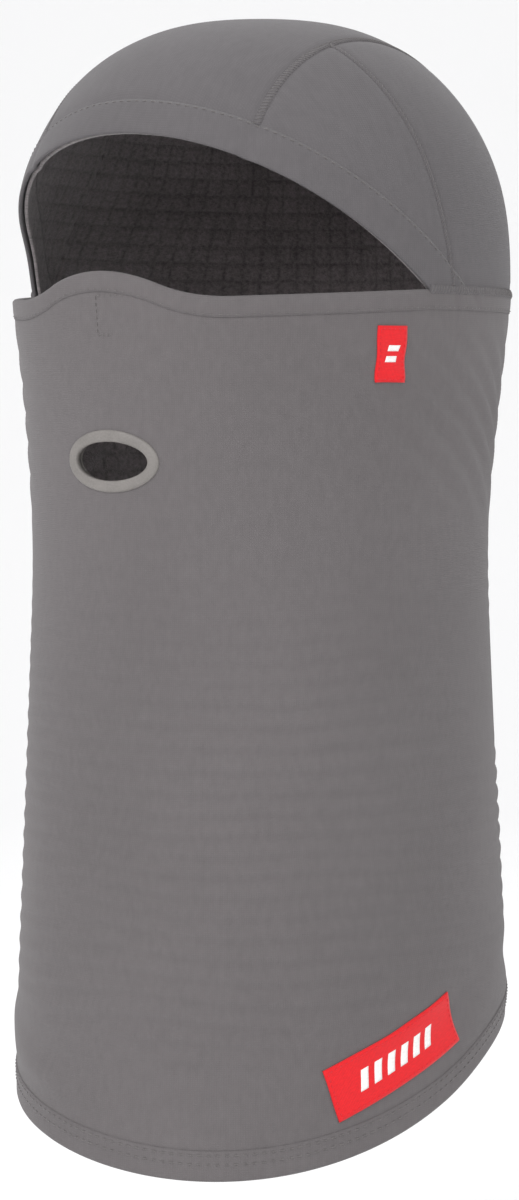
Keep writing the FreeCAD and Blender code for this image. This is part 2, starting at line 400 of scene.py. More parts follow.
def grid_piece(name, phi, s, outs, material, keep=None):
    """A sheet over a grid of directions (columns) and profile places (rows), between two depths."""
    rows, columns = phi.shape
    faces = grid_faces(rows, columns)
    if keep is not None:
        faces = [f for f in faces if keep[f[0] // columns, f[0] % columns]]
    front = skin(phi, s, outs[0]).reshape(-1, 3)
    back = skin(phi, s, outs[1]).reshape(-1, 3)
    cloth = cloth_place(phi, s).reshape(-1, 2)
    used = sorted({i for f in faces for i in f})
    index = {old: new for new, old in enumerate(used)}
    faces = [tuple(index[i] for i in reversed(f)) for f in faces]
    return closed_shell(name, front[used], back[used], faces, material, cloth[used])


def loop_piece(name, loop, material):
    """A solid strip, capped at both ends, from rows of directions, places and depths that close up."""
    rows, columns = len(loop), len(loop[0][0])
    faces = grid_faces(rows, columns)
    first = (rows - 1) * columns
    for j in range(columns - 1):
        faces.append((first + j, first + j + 1, j + 1, j))
    faces.append(tuple(i * columns for i in range(rows)))
    faces.append(tuple(i * columns + columns - 1 for i in reversed(range(rows))))
    vertices = np.concatenate([skin(phi, s, out) for phi, s, out in loop])
    cloth = np.concatenate([cloth_place(phi, s) for phi, s, _ in loop])
    obj = new_piece(name, vertices, faces, material, cloth)
    face_outwards(obj)
    return obj


def wrapped_band(name, phi_rows, s_rows, outer, inner, material):
    """A folded hem: outside rows, round the edge, then inside rows, as one closed loop of cloth.
    The rows run from the stitched side to the folded edge."""
    half = (outer - inner) / 2
    middle = (outer + inner) / 2
    past_edge = 0.8 * half * np.sign(np.mean(s_rows[-1] - s_rows[0]))
    loop = [(phi, s, outer) for phi, s in zip(phi_rows, s_rows)]
    for angle in np.linspace(0, math.pi, 7)[1:-1]:
        loop.append((phi_rows[-1], s_rows[-1] + past_edge * math.sin(angle), middle + half * math.cos(angle)))
    loop += [(phi, s, inner) for phi, s in zip(phi_rows[::-1], s_rows[::-1])]
    return loop_piece(name, loop, material)


def raised_strip(name, lines, heights, base, material):
    """A raised seam: a cross-section of heights over lines that run side by side along the seam."""
    loop = [(phi, s, height) for (phi, s), height in zip(lines, heights)]
    loop += [(phi, s, base) for phi, s in reversed(lines)]
    return loop_piece(name, loop, material)


def tube(points, normals, radii, sides, flat):
    """Vertices and faces of a capped thread along points. flat squeezes it towards the cloth."""
    along = np.gradient(points, axis=0)
    along /= np.linalg.norm(along, axis=1, keepdims=True) + 1e-9
    across = np.cross(along, normals)
    across /= np.linalg.norm(across, axis=1, keepdims=True) + 1e-9
    up = np.cross(across, along)
    turn = np.linspace(0, FULL_TURN, sides, endpoint=False)
    rings = []
    for p, a, u, r in zip(points, across, up, radii):
        rings.append(p + r * (np.outer(np.cos(turn), a) + flat * np.outer(np.sin(turn), u)))
    vertices = np.concatenate(rings)
    faces = grid_faces(len(points), sides, wrap=True)
    faces.append(tuple(range(sides)))
    last = (len(points) - 1) * sides
    faces.append(tuple(reversed(range(last, last + sides))))
    return vertices, [tuple(reversed(f)) for f in faces]


class Threads:
    """Collects many small threads into one piece."""

    def __init__(self):
        self.vertices = []
        self.faces = []
        self.count = 0

    def add(self, vertices, faces):
        self.vertices.append(vertices)
        self.faces += [tuple(i + self.count for i in f) for f in faces]
        self.count += len(vertices)

    def piece(self, name, material):
        vertices = np.concatenate(self.vertices)
        return new_piece(name, vertices, self.faces, material, vertices[:, :2] * MM)


def running_length(points):
    """Length along a line up to each of its points."""
    return np.concatenate([[0], np.cumsum(np.linalg.norm(np.diff(points, axis=0), axis=1))])


def resample(phi, s, step):
    """Places at even steps along a line on the cloth."""
    length = running_length(skin(phi, s))
    count = max(2, int(round(length[-1] / step)) + 1)
    even = np.linspace(0, length[-1], count)
    return np.interp(even, length, phi), np.interp(even, length, s)


# Along one stitch: its depth where it runs along the cloth or across a seam, and its thickness
RUNNING_DIP = np.array([-0.22, 0.08, 0.14, 0.08, -0.22])
LADDER_DIP = np.array([-0.2, 0.1, 0.18, 0.1, -0.2])
STITCH_TAPER = np.array([0.7, 1, 1, 1, 0.7])


def running_stitch(threads, phi, s, out, length=2.1, gap=1.0, radius=0.26):
    """Stitches lying along a line on the cloth, dipping in at their ends."""
    line_phi, line_s = resample(phi, s, length + gap)
    share = np.linspace(0, length / (length + gap), len(RUNNING_DIP))
    for a0, a1, b0, b1 in zip(line_phi[:-1], line_phi[1:], line_s[:-1], line_s[1:]):
        p, q = a0 + (a1 - a0) * share, b0 + (b1 - b0) * share
        _, normal = bare(p, q)
        threads.add(*tube(skin(p, q, out + RUNNING_DIP), normal, radius * STITCH_TAPER, sides=6, flat=0.75))


def stitch_between(threads, corners, place, count, **stitch):
    """Stitches along straight lines from corner to corner, which place puts on the cloth."""
    for start, end in zip(corners[:-1], corners[1:]):
        phi, s = place(*np.linspace(start, end, count).T)
        running_stitch(threads, phi, s, **stitch)


def ladder_stitch(threads, phi_a, s_a, phi_b, s_b, out, radius=0.2):
    """Short slanting threads across a seam, from line a to line b, which have the same number of places."""
    share = np.linspace(0, 1, len(LADDER_DIP))
    for i in range(len(phi_a)):
        j = min(i + 1, len(phi_a) - 1)
        p = phi_a[i] + (phi_b[j] - phi_a[i]) * share
        q = s_a[i] + (s_b[j] - s_a[i]) * share
        _, normal = bare(p, q)
        threads.add(*tube(skin(p, q, out + LADDER_DIP), normal, radius * STITCH_TAPER, sides=5, flat=0.8))


# --- Materials ---

# The knit's pitch is in metres, and the fleece's squares are in millimetres
KNIT_PITCH = 0.00085
WAFFLE_PITCH = 6.6
WAFFLE_DEPTH = 0.65
GROOVE_SHARPNESS = 2.2


class Nodes:
    """Builds one material's nodes, over the cloth's own flat coordinates."""

    def __init__(self, name, roughness, sheen=0.0, sheen_roughness=0.5, specular=0.3):
        self.material = bpy.data.materials.new(name)
        self.material.use_nodes = True
        self.tree = self.material.node_tree
        self.shader = self.tree.nodes["Principled BSDF"]
        self.shader.inputs["Roughness"].default_value = roughness
        self.shader.inputs["Specular IOR Level"].default_value = specular
        self.shader.inputs["Sheen Weight"].default_value = sheen
        self.shader.inputs["Sheen Roughness"].default_value = sheen_roughness
        self.place = self.tree.nodes.new("ShaderNodeAttribute")
        self.place.attribute_name = "cloth"

    def join(self, source, target):
        self.tree.links.new(source, target)

    def math(self, operation, a, b=None):
        node = self.tree.nodes.new("ShaderNodeMath")
        node.operation = operation
        for socket, value in zip(node.inputs, (a, b)):
            if value is None:
                continue
            if hasattr(value, "is_output"):
                self.join(value, socket)
            else:
                socket.default_value = value
        return node.outputs[0]

    def total(self, *parts):
        """The sum of values, each given with its weight."""
        result = None
        for value, weight in parts:
            part = self.math("MULTIPLY", value, weight)
            result = part if result is None else self.math("ADD", result, part)
        return result

    def noise(self, scale, detail, stretch=(1, 1, 1)):
        mapping = self.tree.nodes.new("ShaderNodeMapping")
        mapping.inputs["Scale"].default_value = stretch
        noise = self.tree.nodes.new("ShaderNodeTexNoise")
        noise.inputs["Scale"].default_value = scale
        noise.inputs["Detail"].default_value = detail
        self.join(self.place.outputs["Vector"], mapping.inputs["Vector"])
        self.join(mapping.outputs[0], noise.inputs["Vector"])
        return noise.outputs["Fac"]

    def split(self):
        node = self.tree.nodes.new("ShaderNodeSeparateXYZ")
        self.join(self.place.outputs["Vector"], node.inputs[0])
        return node.outputs[0], node.outputs[1]

    def wave(self, value, pitch, phase=None):
        """A smooth wave from 0 to 1 along a length in metres."""
        turned = self.math("MULTIPLY", value, FULL_TURN / pitch)
        if phase is not None:
            turned = self.math("ADD", turned, phase)
        return self.math("ADD", self.math("MULTIPLY", self.math("SINE", turned), 0.5), 0.5)

    def groove(self, value, pitch):
        """Narrow grooves, 1 at their middle and 0 between them, every pitch along a length in metres."""
        turned = self.math("MULTIPLY", value, math.pi / pitch)
        flat = self.math("ABSOLUTE", self.math("SINE", turned))
        return self.math("POWER", self.math("SUBTRACT", 1.0, flat), GROOVE_SHARPNESS)

    def base(self, factor, colour, dark, light, low, high):
        """Shades the base colour from dark to light times the colour, as the factor goes from low to high."""
        node = self.tree.nodes.new("ShaderNodeValToRGB")
        for stop, position, amount in zip(node.color_ramp.elements, (low, high), (dark, light)):
            stop.position = position
            stop.color = (*(c * amount for c in colour), 1)
        self.join(factor, node.inputs[0])
        self.join(node.outputs[0], self.shader.inputs["Base Color"])

    def bump(self, height, strength, distance):
        node = self.tree.nodes.new("ShaderNodeBump")
        node.inputs["Strength"].default_value = strength
        node.inputs["Distance"].default_value = distance
        self.join(height, node.inputs["Height"])
        self.join(node.outputs[0], self.shader.inputs["Normal"])


def linear(red, green, blue):
    """A screen colour, 0 to 255, as scene-linear values."""
    out = []
    for value in (red, green, blue):
        value /= 255
        out.append(value / 12.92 if value <= 0.04045 else ((value + 0.055) / 1.055) ** 2.4)
    return tuple(out)


def knit_material(name, colour):
    """Smooth stretch jersey: fine wales up the cloth, courses across it, and soft mottling."""
    n = Nodes(name, 0.88, sheen=0.12, sheen_roughness=0.55, specular=0.2)
    u, v = n.split()
    wobble = n.math("MULTIPLY", n.noise(900, 1.0), 2.2)
    knit = n.math("MULTIPLY", n.wave(u, KNIT_PITCH, wobble), n.wave(v, KNIT_PITCH * 0.8, wobble))
    fuzz = n.noise(2600, 2.0)
    n.bump(n.total((knit, 0.6), (fuzz, 0.6)), 0.35, 0.00025)
    broad = n.noise(14, 3.0, (1, 0.6, 1))
    heather = n.noise(420, 2.0, (1, 0.45, 1))
    mixed = n.total((broad, 0.45), (heather, 0.35), (knit, 0.2))
    n.base(mixed, colour, dark=0.86, light=1.12, low=0.28, high=0.72)
    return n.material


def fleece_material(name, colour):
    """Brushed fleece: matt, with tufts, a dusting of lighter fibre and painted shade that darkens the grooves
    between the squares.
    """
    n = Nodes(name, 0.96, sheen=0.35, sheen_roughness=0.7, specular=0.1)
    tufts = n.noise(700, 4.0)
    lint = n.noise(1900, 2.0)
    n.bump(n.total((tufts, 1.0), (lint, 0.5)), 0.8, 0.0006)
    u, v = n.split()
    # Painted shade: the grooves between the squares are darkened in the base colour, in patches, as if in
    # shadow
    grid = n.math("MAXIMUM", n.groove(u, WAFFLE_PITCH * MM), n.groove(v, WAFFLE_PITCH * MM))
    painted_groove_shade = n.math("MULTIPLY", grid, n.noise(150, 2.0))
    mixed = n.total((tufts, 0.5), (lint, 0.3), (n.noise(60, 2.0), 0.2), (painted_groove_shade, -0.21))
    n.base(mixed, colour, dark=0.4, light=1.6, low=0.3, high=0.68)
    return n.material


def film_material(name, colour):
    """Moulded film with a fine grain."""
    n = Nodes(name, 0.5, specular=0.4)
    grain = n.noise(1500, 3.0)
    n.bump(grain, 0.35, 0.0002)
    mixed = n.total((n.noise(120, 2.0), 0.5), (grain, 0.5))
    n.base(mixed, colour, dark=0.84, light=1.08, low=0.35, high=0.65)
    return n.material


def woven_material(name, colour, pitch=0.00045):
    """Satin-faced woven label: fine crosswise picks."""
    n = Nodes(name, 0.62, sheen=0.1, specular=0.35)
    u, v = n.split()
    weave = n.math("MULTIPLY", n.wave(u, pitch * 1.3), n.wave(v, pitch))
    fibre = n.noise(1800, 2.0, (0.3, 1, 1))
    n.bump(n.total((weave, 1.0), (fibre, 0.5)), 0.4, 0.00015)
    n.base(n.total((weave, 0.4), (fibre, 0.6)), colour, dark=0.8, light=1.1, low=0.2, high=0.7)
    return n.material


def thread_material(name, colour):
    """Twisted sewing thread."""
    n = Nodes(name, 0.6, sheen=0.15, specular=0.35)
    twist = n.noise(2600, 2.0)
    n.bump(twist, 0.5, 0.0002)
    n.base(twist, colour, dark=0.75, light=1.2, low=0.3, high=0.7)
    return n.material


HOOD_KNIT = knit_material("hood_knit", linear(92, 89, 91))
MASK_KNIT = knit_material("mask_knit", linear(99, 95, 96))
FLEECE = fleece_material("grid_fleece", linear(120, 112, 113))
RIM = film_material("rim_film", linear(121, 117, 114))
RED = woven_material("label_red", linear(222, 8, 22))
WHITE = woven_material("label_white", linear(242, 240, 238))
RED_THREAD = thread_material("label_thread", linear(206, 20, 34))
GREY_THREAD = thread_material("seam_thread", linear(98, 94, 94))
ELASTIC = woven_material("elastic_black", linear(40, 40, 42), 0.0009)


# --- Attaching ---

def on_hood(piece, slot_name, *nodes):
    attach(piece, "hood")
    if nodes:
        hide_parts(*nodes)


def on_mask(piece, slot_name, *nodes):
    """Bakes the piece's placement into its mesh, and hides the CAD parts it replaces."""
    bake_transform(piece)
    if nodes:
        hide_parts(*nodes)


# --- Hood ---

HOOD_STEP = 1.7
# Distances from a seam at which a panel gets a line of points, to carry the seam's valley
SEAM_SCORES = (0.5, 1.2, 2.2)
# Within this radius a place on the crown is found by its radius, and beyond it by its height
CROWN_TOP_RADIUS = 55
BROW_NORMAL = np.array([0, BROW_SLOPE, 1]) / math.hypot(BROW_SLOPE, 1)
TEMPLE_NORMAL = np.array([0, 1, TEMPLE_SEAM_LEAN]) / math.hypot(1, TEMPLE_SEAM_LEAN)


def crown_mesh():
    """The bare crown as one open surface, in millimetres, with a single point at the top."""
    columns = int(round(FULL_TURN * MEAN_HALF / HOOD_STEP))
    rows = int(round(S_JOIN / HOOD_STEP))
    phi = np.linspace(-math.pi, math.pi, columns, endpoint=False)
    s = np.linspace(HOOD_STEP, S_JOIN, rows)
    points, _ = bare(phi[None, :], s[:, None])
    mesh = bmesh.new()
    top = mesh.verts.new((0, 0, CROWN_HEIGHT))
    grid = [[mesh.verts.new(p) for p in row] for row in points]
    for j in range(columns):
        k = (j + 1) % columns
        mesh.faces.new((top, grid[0][j], grid[0][k]))
        for i in range(rows - 1):
            mesh.faces.new((grid[i][j], grid[i + 1][j], grid[i + 1][k], grid[i][k]))
    return mesh


def bisect(mesh, point, normal, near, **clear):
    """Adds a line of edges along a plane, and clears one side of it if the last arguments say so."""
    everything = mesh.verts[:] + mesh.edges[:] + mesh.faces[:]
    bmesh.ops.bisect_plane(mesh, geom=everything, dist=near, plane_co=point, plane_no=normal, **clear)


def hood_panel(name, cuts):
    """A panel of the hood: the crown cut by planes, each given as a point, a normal and the side kept."""
    mesh = crown_mesh()
    for point, normal, keep_below in cuts:
        bisect(mesh, point, normal, 1e-5, clear_outer=keep_below, clear_inner=not keep_below)
        inwards = -1 if keep_below else 1
        for step in SEAM_SCORES:
            bisect(mesh, np.array(point) + np.array(normal) * step * inwards, normal, 1e-4)
    bmesh.ops.remove_doubles(mesh, verts=mesh.verts, dist=0.02)
    mesh.verts.index_update()
    points = np.array([v.co for v in mesh.verts])
    faces = [tuple(v.index for v in f.verts) for f in mesh.faces]
    mesh.free()
    phi = phi_of(points[:, 0], points[:, 1])
    r = np.hypot(points[:, 0], points[:, 1] / DEPTH_PER_WIDTH)
    s = np.where(r < CROWN_TOP_RADIUS, s_at_r(np.minimum(r, CROWN_TOP_RADIUS)), s_at_z(points[:, 2]))
    axes = [0, 1] if name.startswith("crown") else [1, 2]
    front, back = skin(phi, s), skin(phi, s, -OUTER_BACK)
    obj = closed_shell(name, front, back, faces, HOOD_KNIT, points[:, axes] * MM)
    face_outwards(obj)
    return obj


def brow_cut(offset):
    return (np.array([0, CORNER_Y, JOIN_Z]) + BROW_NORMAL * offset, BROW_NORMAL, False)


def hood_panels():
    brow = brow_cut(2)
    center = [((CENTER_HALF, 0, 0), (1, 0, 0), True), ((-CENTER_HALF, 0, 0), (-1, 0, 0), True), brow]
    piece = hood_panel("crown_center", center)
    on_hood(piece, "outer_knit", "crown_center_panel")
    for side, word in ((1, "left"), (-1, "right")):
        beside = ((side * CENTER_HALF, 0, 0), (side, 0, 0), False)
        seam = (0, TEMPLE_SEAM_Y, 0)
        rear = hood_panel("rear_" + word, [beside, (seam, TEMPLE_NORMAL, False), brow])
        on_hood(rear, "outer_knit", "rear_panel_" + word)
        temple = hood_panel("temple_" + word, [beside, (seam, TEMPLE_NORMAL, True), brow])
        on_hood(temple, "outer_knit", "temple_panel_" + word)


def waffle(phi, s):
    """Height of the fleece's grid of square tufts."""
    gap_u = (1 - np.abs(np.sin(math.pi * phi * MEAN_HALF / WAFFLE_PITCH))) ** GROOVE_SHARPNESS
    gap_v = (1 - np.abs(np.sin(math.pi * s / WAFFLE_PITCH))) ** GROOVE_SHARPNESS
    return WAFFLE_DEPTH * (1 - np.maximum(gap_u, gap_v))


LINING_COLUMNS = 324
LINING_ROWS = 148


def crown_lining():
    phi = np.linspace(-math.pi, math.pi, LINING_COLUMNS)
    start = 0.6
    end = np.minimum(s_where(lambda p: brow_distance(p) - BROW_BAND + 1, phi), S_JOIN + 0.5)
    share = np.linspace(0, 1, LINING_ROWS)
    s = start + share[:, None] * (end[None, :] - start)
    angles = np.broadcast_to(phi, s.shape)
    outs = (-LINING_FRONT, -LINING_BACK - waffle(angles, s))
    piece = grid_piece("crown_lining_fleece", angles, s, outs, FLEECE)
    on_hood(piece, "lining_fleece", "crown_lining")


def brow_rows(offsets):
    """Directions and places of lines at distances above the brow edge, from temple to temple."""
    phis, places = [], []
    for offset in offsets:
        y = CORNER_Y + offset * math.hypot(BROW_SLOPE, 1) / BROW_SLOPE
        corner = math.asin(y / HALF_DEPTH)
        phi = np.linspace(-math.pi - corner, corner, 300)
        s = s_where(lambda p: brow_distance(p) - offset, phi)
        phis.append(phi)
        places.append(np.minimum(s, S_JOIN))
    return np.array(phis), np.array(places)


def brow_hem():
    phi, s = brow_rows(np.linspace(BROW_BAND, 0.4, 9))
    band = wrapped_band("brow_hem", phi, s, 0.22, -OUTER_BACK, HOOD_KNIT)
    on_hood(band, "outer_knit", "brow_band")
    phi, s = brow_rows(np.linspace(BROW_BAND, 1.0, 9))
    facing = grid_piece("brow_facing_fleece", phi, s, (-1.9, -3.1), FLEECE)
    on_hood(facing, "lining_fleece", "brow_facing")
    phi, s = brow_rows(np.linspace(BROW_BAND - 2, 2, 5))
    elastic = grid_piece("brow_elastic_tape", phi, s, (-1.25, -1.85), ELASTIC)
    on_hood(elastic, "elastic", "brow_elastic")
    threads = Threads()
    phi, s = brow_rows([BROW_BAND - 0.9])
    running_stitch(threads, phi[0], s[0], out=0.25)
    on_hood(threads.piece("brow_stitches", GREY_THREAD), "thread", "brow_stitching")


def long_seam_line(x, count):
    """The line of the crown at a distance from the middle, from the brow hem to the neck seam."""
    y = np.linspace(-HALF_DEPTH, HALF_DEPTH, 3000)
    y = y[np.hypot(x, y / DEPTH_PER_WIDTH) < HALF_WIDTH - 0.02]
    phi, s = phi_of(x, y), s_at_r(np.hypot(x, y / DEPTH_PER_WIDTH))
    point, _ = bare(phi, s)
    keep = (brow_distance(point) > BROW_BAND - 0.3) & (point[:, 2] > 4)
    phi, s = phi[keep], s[keep]
    down = np.linspace(s[-1], S_JOIN - SEAM_WIDTH + 0.5, 12)[1:]
    phi_down = np.arccos(np.clip(x / np.interp(down, S_TABLE, R_TABLE), -1, 1))
    return resample_to(np.append(phi, phi_down), np.append(s, down), count)


def resample_to(phi, s, count):
    """That many places along a line, at even steps."""
    length = running_length(bare(phi, s)[0])
    even = np.linspace(0, length[-1], count)
    return np.interp(even, length, np.unwrap(phi)), np.interp(even, length, s)


def temple_seam_line(side, shift, count):
    """The line of a temple seam, moved back by a shift, from the neck seam to the long seam."""
    z = np.linspace(JOIN_Z + SEAM_WIDTH - 0.5, CROWN_HEIGHT - 3, 900)
    y = TEMPLE_SEAM_Y - TEMPLE_SEAM_LEAN * z + shift
    s = s_at_z(z)
    r = np.interp(s, S_TABLE, R_TABLE)
    x = side * np.sqrt(np.maximum(r ** 2 - (y / DEPTH_PER_WIDTH) ** 2, 0))
    keep = np.abs(x) > CENTER_HALF - 0.5
    return resample_to(phi_of(x, y)[keep], s[keep], count)


SEAM_ACROSS = np.array([-1.3, -0.9, -0.45, 0.0, 0.45, 0.9, 1.3])
SEAM_HEIGHTS = [-0.3, 0.2, 0.5, 0.6, 0.5, 0.2, -0.3]


def sewn_seam(kind, word, line, cord_count, thread_count):
    """A raised seam with ladder stitches over it. line gives the line that runs a distance across from it."""
    lines = [line(across, cord_count) for across in SEAM_ACROSS]
    cord = raised_strip(f"{kind}_seam_cord_{word}", lines, SEAM_HEIGHTS, -1.0, HOOD_KNIT)
    threads = Threads()
    ladder_stitch(threads, *line(-1.0, thread_count), *line(1.0, thread_count), out=0.46, radius=0.15)
    stitches = threads.piece(f"{kind}_seam_threads_{word}", GREY_THREAD)
    on_hood(cord, "outer_knit", f"{kind}_seam_{word}")
    on_hood(stitches, "thread")


def hood_seams():
    for side, word in ((1, "left"), (-1, "right")):
        sewn_seam("crown", word, lambda a, n: long_seam_line(side * (CENTER_HALF + a), n), 170, 150)
        sewn_seam("temple", word, lambda a, n: temple_seam_line(side, a, n), 70, 50)


NECK_SEAM_LEVELS = np.array([-1.3, -0.9, -0.2, 0.6, 1.4, 2.0, 2.5]) + JOIN_Z
NECK_SEAM_HEIGHTS = [-0.4, 0.35, 0.6, 0.65, 0.6, 0.3, -0.4]


def neck_seam():
    phi = np.linspace(CORNER_PHI - 0.01, math.pi - CORNER_PHI + 0.01, 420)
    lines = [(phi, np.full(len(phi), float(s_at_z(z)))) for z in NECK_SEAM_LEVELS]
    seam = raised_strip("neck_seam_cord", lines, NECK_SEAM_HEIGHTS, -0.9, HOOD_KNIT)
    on_hood(seam, "outer_knit", "neck_seam")
    threads = Threads()
    fine = resample(phi, lines[0][1], 1.5)[0]
    low, high = (np.full(len(fine), s_at_z(JOIN_Z + up)) for up in (-0.9, 2.1))
    ladder_stitch(threads, fine, low, fine, high, out=0.5)
    on_hood(threads.piece("neck_seam_threads", GREY_THREAD), "thread")


# --- Mask and neck tube ---

def tube_directions(columns):
    """Directions once round the tube, from the seam at the middle of the back."""
    return np.linspace(-1.5 * math.pi, 0.5 * math.pi, columns)


def mask_top(phi, drop):
    """Place of the line that runs a distance below the neck tube's top edge."""
    return s_at_z(mask_edge(HALF_WIDTH * np.cos(phi), HALF_DEPTH * np.sin(phi)) - drop)


def hem_line(phi, offset):
    return s_where(lambda p: hem_distance(p) - offset, phi)


def near_hole(phi, s):
    """Whether places lie in the breathing hole or within the margin round it, which the rim covers."""
    point, _ = bare(phi, s)
    x, y, z = point[..., 0], point[..., 1], point[..., 2]
    half_x, half_z = HOLE_HALF[0] + HOLE_MARGIN, HOLE_HALF[1] + HOLE_MARGIN
    return ((x / half_x) ** 2 + ((z - HOLE_Z) / half_z) ** 2 < 1) & (y < 0)


def tube_piece(name, top_drop, hem_offset, outs, material, rows, columns, fleece=False):
    """A layer of the neck tube from below the top edge to above the hem, open at the breathing hole."""
    phi = tube_directions(columns)
    top, low = mask_top(phi, top_drop), hem_line(phi, hem_offset)
    share = np.linspace(0, 1, rows)
    s = top[None, :] + share[:, None] * (low - top)[None, :]
    angles = np.broadcast_to(phi, s.shape)
    keep = ~near_hole(angles + (phi[1] - phi[0]) / 2, s + (s[1] - s[0])[None, :] / 2)
    inner = outs[1] - (waffle(angles, s) if fleece else 0)
    return grid_piece(name, angles, s, (outs[0], inner), material, keep)


def mask_cloth():
    """The outer fabric of mask and neck tube, and the fleece inside it."""
    panel = tube_piece("mask_neck_cloth", 1.0, 1.2, (0.0, -OUTER_BACK), MASK_KNIT, 186, 232)
    on_mask(panel, "outer_knit", "mask_neck_panel")
    outs = (-LINING_FRONT, -LINING_BACK)
    lining = tube_piece("mask_neck_fleece", 1.2, 1.4, outs, FLEECE, 160, 300, fleece=True)
    on_mask(lining, "lining_fleece", "mask_neck_lining")


def hem_band(name, phi, rows, outer, node):
    """A folded hem round the tube, over rows of places from its stitched side to its edge."""
    s = np.array(rows)
    band = wrapped_band(name, np.broadcast_to(phi, s.shape), s, outer, -HEM_BACK, MASK_KNIT)
    on_mask(band, "outer_knit", node)


def mask_hems():
    phi = tube_directions(420)
    rows = [mask_top(phi, drop) for drop in np.linspace(MASK_HEM, 0.4, 7)]
    hem_band("mask_top_fold", phi, rows, 0.28, "mask_top_hem")
    threads = Threads()
    phi = tube_directions(900)
    running_stitch(threads, phi, mask_top(phi, MASK_HEM - 0.9), length=1.5, gap=1.3, out=0.3, radius=0.16)
    on_mask(threads.piece("mask_top_stitches", GREY_THREAD), "thread", "mask_top_stitching")
    phi = tube_directions(300)
    rows = [hem_line(phi, above) for above in np.linspace(HEM_WIDTH, 0.8, 9)]
    hem_band("bottom_hem_fold", phi, rows, 0.3, "bottom_hem")
    threads = Threads()
    for offset in HEM_STITCH_ROWS:
        running_stitch(threads, phi, hem_line(phi, offset), out=0.32)
    on_mask(threads.piece("bottom_hem_stitches", GREY_THREAD), "thread", "bottom_hem_stitching")


def front_place(x, z):
    """Direction and place of the front of the tube at a sideways position and a height."""
    s = s_at_z(z)
    r = np.interp(s, S_TABLE, R_TABLE)
    return -np.arccos(np.clip(x / r, -1, 1)), s


# The rims' cross-sections: distance past the hole's edge, and height over the cloth's outside
RIM_OUTSIDE = [(0.3, -1.6), (0.0, 0.3), (0.25, 0.75), (0.8, 0.95), (1.6, 0.9), (2.6, 0.85), (3.3, 0.75),
               (3.8, 0.5), (4.0, 0.1), (4.0, -0.1), (1.0, -0.2), (0.8, -1.6)]
RIM_INSIDE = [(1.3, -1.5), (1.3, -3.1), (1.6, -3.6), (2.3, -3.8), (3.2, -3.7), (3.9, -3.4), (4.0, -3.0),
              (1.8, -2.8), (1.8, -1.5)]


def ring_piece(name, section):
    """A moulded ring round the breathing hole."""
    turn = np.linspace(0, FULL_TURN, 120, endpoint=False)
    rows = []
    for past, out in section:
        x = (HOLE_HALF[0] + past) * np.cos(turn)
        z = HOLE_Z + (HOLE_HALF[1] + past) * np.sin(turn)
        phi, s = front_place(x, z)
        rows.append(skin(phi, s, out))
    faces = grid_faces(len(rows), len(turn), wrap=True)
    first = (len(rows) - 1) * len(turn)
    for j in range(len(turn)):
        k = (j + 1) % len(turn)
        faces.append((first + j, first + k, k, j))
    vertices = np.concatenate(rows)
    obj = new_piece(name, vertices, faces, RIM, vertices[:, [0, 2]] * MM)
    face_outwards(obj)
    return obj


def breathing_hole():
    on_mask(ring_piece("breathing_rim_outside", RIM_OUTSIDE), "rim_film", "breathing_rim_outer")
    on_mask(ring_piece("breathing_rim_inside", RIM_INSIDE), "rim_film", "breathing_rim_inner")


# Width and height of the stitched bracket at the nose
NOSE_DART = (11.0, 13.0)


def nose_dart():
    top = float(mask_edge(0.0, -HALF_DEPTH)) - MASK_HEM - 1.2
    left, low = -0.5, top - NOSE_DART[1]
    corners = [(left + NOSE_DART[0], top), (left, top), (left, low), (left + NOSE_DART[0] * 0.5, low)]
    threads = Threads()
    stitch_between(threads, corners, front_place, 30, length=1.7, gap=0.5, out=0.05, radius=0.2)
    on_mask(threads.piece("nose_dart_stitches", GREY_THREAD), "thread", "nose_dart_stitching")


def back_seam():
    back = 0.5 * math.pi
    top, low = float(mask_top(back, MASK_HEM)), float(hem_line(np.array([back]), HEM_WIDTH - 1)[0])
    s = np.linspace(top, low, 170)
    lines = [(np.full(len(s), back + across / HALF_WIDTH), s) for across in SEAM_ACROSS]
    seam = raised_strip("back_seam_cord", lines, SEAM_HEIGHTS, -0.6, MASK_KNIT)
    on_mask(seam, "outer_knit", "back_seam")
    threads = Threads()
    s = np.linspace(top + 1, low, 150)
    left, right = (np.full(len(s), back + SEAM_ACROSS[end] / HALF_WIDTH) for end in (0, -1))
    ladder_stitch(threads, left, s, right, s, out=0.42)
    on_mask(threads.piece("back_seam_threads", GREY_THREAD), "thread")


# --- Labels ---

